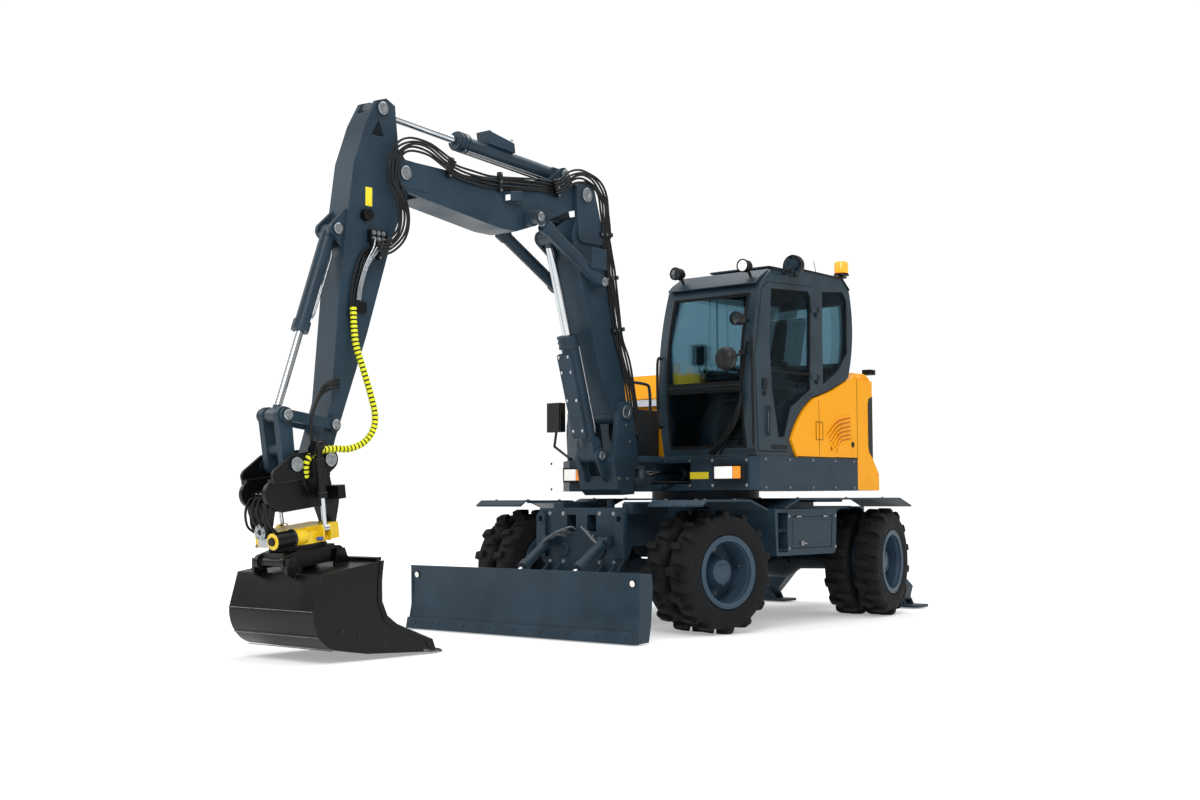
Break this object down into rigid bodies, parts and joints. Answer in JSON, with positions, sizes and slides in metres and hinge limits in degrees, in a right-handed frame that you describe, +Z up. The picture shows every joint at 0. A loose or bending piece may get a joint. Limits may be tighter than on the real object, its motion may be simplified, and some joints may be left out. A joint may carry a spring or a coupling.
{
  "type": "wheeled excavator",
  "caption": "Compact wheeled excavator with twin lugged tyres, dozer blade, stabilizers, glazed cab, two-piece boom on a swing post and a tilting, rotating bucket.",
  "frame": {"origin": "on the ground under the middle of the machine's bounding box, as parked with its arm out", "axes": "+Z up, -Y to the machine's front where the blade and bucket are, +X to its left"},
  "size_m": [2.6926, 7.3962, 3.99],
  "materials": {
    "frame_grey": "satin dark blue-grey paint",
    "panel_yellow": "gloss orange-yellow paint",
    "tool_black": "satin black paint",
    "rotor_yellow": "gloss yellow paint",
    "rim_grey": "satin blue-grey paint",
    "tyre_black": "matt tyre rubber",
    "rod_chrome": "polished rod",
    "cab_grey": "satin dark grey paint",
    "cab_glass": "blue-tinted glass",
    "interior_black": "matt moulded plastic and cloth",
    "lamp_clear": "clear lamp lens",
    "mirror_black": "matt black housing",
    "engine_metal": "cast block"
  },
  "bodies": {
    "chassis": {"chassis_frame": "frame_grey", "tie_down_ears": "frame_grey", "axles": "frame_grey", "fenders": "frame_grey", "side_boxes": "frame_grey"},
    "blade": {"blade": "frame_grey"},
    "blade_barrels": {"blade_lift_barrels": "frame_grey"},
    "blade_rods": {"blade_lift_rods": "rod_chrome"},
    "stabilizer_left": {"stabilizer_left": "frame_grey"},
    "stabilizer_right": {"stabilizer_right": "frame_grey"},
    "upper": {"upper_deck": "frame_grey", "counterweight": "panel_yellow", "rear_door": "cab_grey", "engine_hood": "panel_yellow", "engine": "engine_metal", "left_cover": "panel_yellow", "fuel_tank": "frame_grey", "cab_shell": "cab_grey", "cab_glass": "cab_glass", "cab_interior": "interior_black", "lamps": "lamp_clear", "mirrors": "mirror_black"},
    "cab_door": {"cab_door": "cab_grey", "door_glass": "cab_glass"},
    "swing_post": {"swing_post": "frame_grey"},
    "swing_barrel": {"swing_barrel": "frame_grey"},
    "swing_rod": {"swing_rod": "rod_chrome"},
    "lower_boom": {"lower_boom": "frame_grey"},
    "boom_barrel": {"boom_barrel": "frame_grey"},
    "boom_rod": {"boom_rod": "rod_chrome"},
    "upper_boom": {"upper_boom": "frame_grey"},
    "adjust_barrels": {"adjust_barrels": "frame_grey"},
    "adjust_rods": {"adjust_rods": "rod_chrome"},
    "arm": {"arm": "frame_grey"},
    "arm_barrel": {"arm_barrel": "frame_grey"},
    "arm_rod": {"arm_rod": "rod_chrome"},
    "tool_hitch": {"tool_hitch": "tool_black"},
    "guide_links": {"guide_links": "frame_grey"},
    "bucket_link": {"bucket_link": "frame_grey"},
    "bucket_barrel": {"bucket_barrel": "frame_grey"},
    "bucket_rod": {"bucket_rod": "rod_chrome"},
    "rotor_housing": {"rotor_housing": "rotor_yellow"},
    "tilt_barrel_left": {"tilt_barrel_left": "tool_black"},
    "tilt_barrel_right": {"tilt_barrel_right": "tool_black"},
    "tilt_rod_left": {"tilt_rod_left": "rod_chrome"},
    "tilt_rod_right": {"tilt_rod_right": "rod_chrome"},
    "bucket": {"lower_hitch": "tool_black", "bucket": "tool_black"},
    "knuckle_front_left": {"knuckle_front_left": "frame_grey"},
    "wheel_front_left": {"wheel_front_left": "rim_grey", "tyres_front_left": "tyre_black"},
    "knuckle_front_right": {"knuckle_front_right": "frame_grey"},
    "wheel_front_right": {"wheel_front_right": "rim_grey", "tyres_front_right": "tyre_black"},
    "knuckle_rear_left": {"knuckle_rear_left": "frame_grey"},
    "wheel_rear_left": {"wheel_rear_left": "rim_grey", "tyres_rear_left": "tyre_black"},
    "knuckle_rear_right": {"knuckle_rear_right": "frame_grey"},
    "wheel_rear_right": {"wheel_rear_right": "rim_grey", "tyres_rear_right": "tyre_black"}
  },
  "joints": [
    {"name": "steer_front_left", "type": "hinge", "parent": "chassis", "child": "knuckle_front_left", "pos_m": [0.834, 0.088, 0.495], "axis": [0, 0, 1], "range_deg": [-9, 31]},
    {"name": "roll_front_left", "type": "hinge", "parent": "knuckle_front_left", "child": "wheel_front_left", "pos_m": [0.834, 0.088, 0.495], "axis": [0.9816, -0.1908, 0], "continuous": true},
    {"name": "steer_front_right", "type": "hinge", "parent": "chassis", "child": "knuckle_front_right", "pos_m": [-0.834, 0.088, 0.495], "axis": [0, 0, 1], "range_deg": [-9, 31]},
    {"name": "roll_front_right", "type": "hinge", "parent": "knuckle_front_right", "child": "wheel_front_right", "pos_m": [-0.834, 0.088, 0.495], "axis": [0.9816, -0.1908, 0], "continuous": true},
    {"name": "steer_rear_left", "type": "hinge", "parent": "chassis", "child": "knuckle_rear_left", "pos_m": [0.834, 2.528, 0.495], "axis": [0, 0, 1], "range_deg": [-31, 9]},
    {"name": "roll_rear_left", "type": "hinge", "parent": "knuckle_rear_left", "child": "wheel_rear_left", "pos_m": [0.834, 2.528, 0.495], "axis": [0.9816, 0.1908, 0], "continuous": true},
    {"name": "steer_rear_right", "type": "hinge", "parent": "chassis", "child": "knuckle_rear_right", "pos_m": [-0.834, 2.528, 0.495], "axis": [0, 0, 1], "range_deg": [-31, 9]},
    {"name": "roll_rear_right", "type": "hinge", "parent": "knuckle_rear_right", "child": "wheel_rear_right", "pos_m": [-0.834, 2.528, 0.495], "axis": [0.9816, 0.1908, 0], "continuous": true},
    {"name": "blade_lift", "type": "hinge", "parent": "chassis", "child": "blade", "pos_m": [0, -0.437, 0.43], "axis": [-1, 0, 0], "range_deg": [-8, 20]},
    {"name": "blade_barrel_swing", "type": "hinge", "parent": "chassis", "child": "blade_barrels", "pos_m": [0, -0.427, 0.74], "axis": [1, 0, 0], "range_deg": [-14.78, 6.03]},
    {"name": "blade_rod_slide", "type": "slide", "parent": "blade_barrels", "child": "blade_rods", "axis": [0, -0.8321, -0.5547], "range_m": [-0.095, 0.0392]},
    {"name": "stabilizer_left_swing", "type": "hinge", "parent": "chassis", "child": "stabilizer_left", "pos_m": [0.33, 3.563, 0.62], "axis": [0, -1, 0], "range_deg": [0, 75]},
    {"name": "stabilizer_right_swing", "type": "hinge", "parent": "chassis", "child": "stabilizer_right", "pos_m": [-0.33, 3.563, 0.62], "axis": [0, 1, 0], "range_deg": [0, 75]},
    {"name": "slew", "type": "hinge", "parent": "chassis", "child": "upper", "pos_m": [0, 1.363, 1.078], "axis": [0, 0, 1], "continuous": true},
    {"name": "door_swing", "type": "hinge", "parent": "upper", "child": "cab_door", "pos_m": [1.196, 1.41, 2.1], "axis": [0, 0, 1], "range_deg": [0, 80]},
    {"name": "swing", "type": "hinge", "parent": "upper", "child": "swing_post", "pos_m": [0, 0.193, 1.3], "axis": [0, 0, -1], "range_deg": [-50, 50]},
    {"name": "swing_barrel_swing", "type": "hinge", "parent": "upper", "child": "swing_barrel", "pos_m": [0.4, 1.033, 1.295], "axis": [0, 0, 1], "range_deg": [-3, 3]},
    {"name": "swing_rod_slide", "type": "slide", "parent": "swing_barrel", "child": "swing_rod", "axis": [-0.2685, -0.9633, 0], "range_m": [-0.1289, 0.1289]},
    {"name": "boom", "type": "hinge", "parent": "swing_post", "child": "lower_boom", "pos_m": [0, -0.037, 1.807], "axis": [-1, 0, 0], "range_deg": [-60, 12]},
    {"name": "boom_barrel_swing", "type": "hinge", "parent": "swing_post", "child": "boom_barrel", "pos_m": [0, -0.244, 1.44], "axis": [1, 0, 0], "range_deg": [-11.04, 54.39]},
    {"name": "boom_rod_slide", "type": "slide", "parent": "boom_barrel", "child": "boom_rod", "axis": [0, -0.2873, 0.9578], "range_m": [-0.3939, 0.0804]},
    {"name": "upper_boom", "type": "hinge", "parent": "lower_boom", "child": "upper_boom", "pos_m": [0, -0.503, 3.588], "axis": [-1, 0, 0], "range_deg": [0, 65]},
    {"name": "adjust_barrels_swing", "type": "hinge", "parent": "lower_boom", "child": "adjust_barrels", "pos_m": [0, -0.395, 2.866], "axis": [1, 0, 0], "range_deg": [-32.51, 0.2]},
    {"name": "adjust_rods_slide", "type": "slide", "parent": "adjust_barrels", "child": "adjust_rods", "axis": [0, -0.8711, 0.4912], "range_m": [-0.002, 0.5279]},
    {"name": "arm", "type": "hinge", "parent": "upper_boom", "child": "arm", "pos_m": [0, -2.48, 3.459], "axis": [1, 0, 0], "range_deg": [-75, 8]},
    {"name": "arm_barrel_swing", "type": "hinge", "parent": "upper_boom", "child": "arm_barrel", "pos_m": [0, -0.677, 3.741], "axis": [1, 0, 0], "range_deg": [-0.58, 0.24]},
    {"name": "arm_rod_slide", "type": "slide", "parent": "arm_barrel", "child": "arm_rod", "axis": [0, -0.9965, 0.083], "range_m": [-0.606, 0.0664]},
    {"name": "bucket", "type": "hinge", "parent": "arm", "child": "tool_hitch", "pos_m": [0, -3.181, 1.358], "axis": [1, 0, 0], "range_deg": [-50, 90]},
    {"name": "guide_swing", "type": "hinge", "parent": "arm", "child": "guide_links", "pos_m": [0, -3.105, 1.6], "axis": [1, 0, 0], "range_deg": [-33.72, 60.54]},
    {"name": "link_swing", "type": "hinge", "parent": "guide_links", "child": "bucket_link", "pos_m": [0, -3.517, 1.652], "axis": [1, 0, 0], "range_deg": [-30.31, 16.93]},
    {"name": "bucket_barrel_swing", "type": "hinge", "parent": "arm", "child": "bucket_barrel", "pos_m": [0, -3.059, 2.98], "axis": [1, 0, 0], "range_deg": [-4.39, 7.74]},
    {"name": "bucket_rod_slide", "type": "slide", "parent": "bucket_barrel", "child": "bucket_rod", "axis": [0, -0.326, -0.9454], "range_m": [-0.2092, 0.3749]},
    {"name": "tilt", "type": "hinge", "parent": "tool_hitch", "child": "rotor_housing", "pos_m": [0, -3.327, 0.905], "axis": [0, 0.991, 0.134], "range_deg": [-40, 40]},
    {"name": "tilt_barrel_left_swing", "type": "hinge", "parent": "tool_hitch", "child": "tilt_barrel_left", "pos_m": [0.25, -3.3406, 1.4531], "axis": [0, 0.991, 0.134], "range_deg": [-2.17, 2.17]},
    {"name": "tilt_rod_left_slide", "type": "slide", "parent": "tilt_barrel_left", "child": "tilt_rod_left", "axis": [-0.0351, 0.134, -0.9904], "range_m": [-0.1562, 0.1562]},
    {"name": "tilt_barrel_right_swing", "type": "hinge", "parent": "tool_hitch", "child": "tilt_barrel_right", "pos_m": [-0.25, -3.3406, 1.4531], "axis": [0, 0.991, 0.134], "range_deg": [-2.17, 2.17]},
    {"name": "tilt_rod_right_slide", "type": "slide", "parent": "tilt_barrel_right", "child": "tilt_rod_right", "axis": [0.0351, 0.134, -0.9904], "range_m": [-0.1562, 0.1562]},
    {"name": "tool_rotation", "type": "hinge", "parent": "rotor_housing", "child": "bucket", "pos_m": [0, -3.3089, 0.7712], "axis": [0, -0.134, 0.991], "continuous": true}
  ],
  "couplings": [
    {"joint": "steer_front_right", "follows": "steer_front_left", "ratio": 1},
    {"joint": "steer_rear_left", "follows": "steer_front_left", "ratio": -1},
    {"joint": "steer_rear_right", "follows": "steer_front_left", "ratio": -1},
    {"joint": "blade_barrel_swing", "follows": "blade_lift", "ratio": -0.7291},
    {"joint": "blade_rod_slide", "follows": "blade_lift", "m_per_rad": -0.2665},
    {"joint": "swing_barrel_swing", "follows": "swing", "ratio": 0.056},
    {"joint": "swing_rod_slide", "follows": "swing", "m_per_rad": 0.1454},
    {"joint": "boom_barrel_swing", "follows": "boom", "ratio": -0.9031},
    {"joint": "boom_rod_slide", "follows": "boom", "m_per_rad": 0.3742},
    {"joint": "adjust_barrels_swing", "follows": "upper_boom", "ratio": -0.4971},
    {"joint": "adjust_rods_slide", "follows": "upper_boom", "m_per_rad": 0.4636},
    {"joint": "arm_barrel_swing", "follows": "arm", "ratio": 0.005},
    {"joint": "arm_rod_slide", "follows": "arm", "m_per_rad": 0.4614},
    {"joint": "guide_swing", "follows": "bucket", "ratio": 0.6704},
    {"joint": "link_swing", "follows": "bucket", "ratio": -0.3346},
    {"joint": "bucket_barrel_swing", "follows": "bucket", "ratio": 0.0838},
    {"joint": "bucket_rod_slide", "follows": "bucket", "m_per_rad": 0.2374},
    {"joint": "tilt_barrel_left_swing", "follows": "tilt", "ratio": 0.0492},
    {"joint": "tilt_rod_left_slide", "follows": "tilt", "m_per_rad": 0.2209},
    {"joint": "tilt_barrel_right_swing", "follows": "tilt", "ratio": 0.0492},
    {"joint": "tilt_rod_right_slide", "follows": "tilt", "m_per_rad": -0.2209}
  ]
}
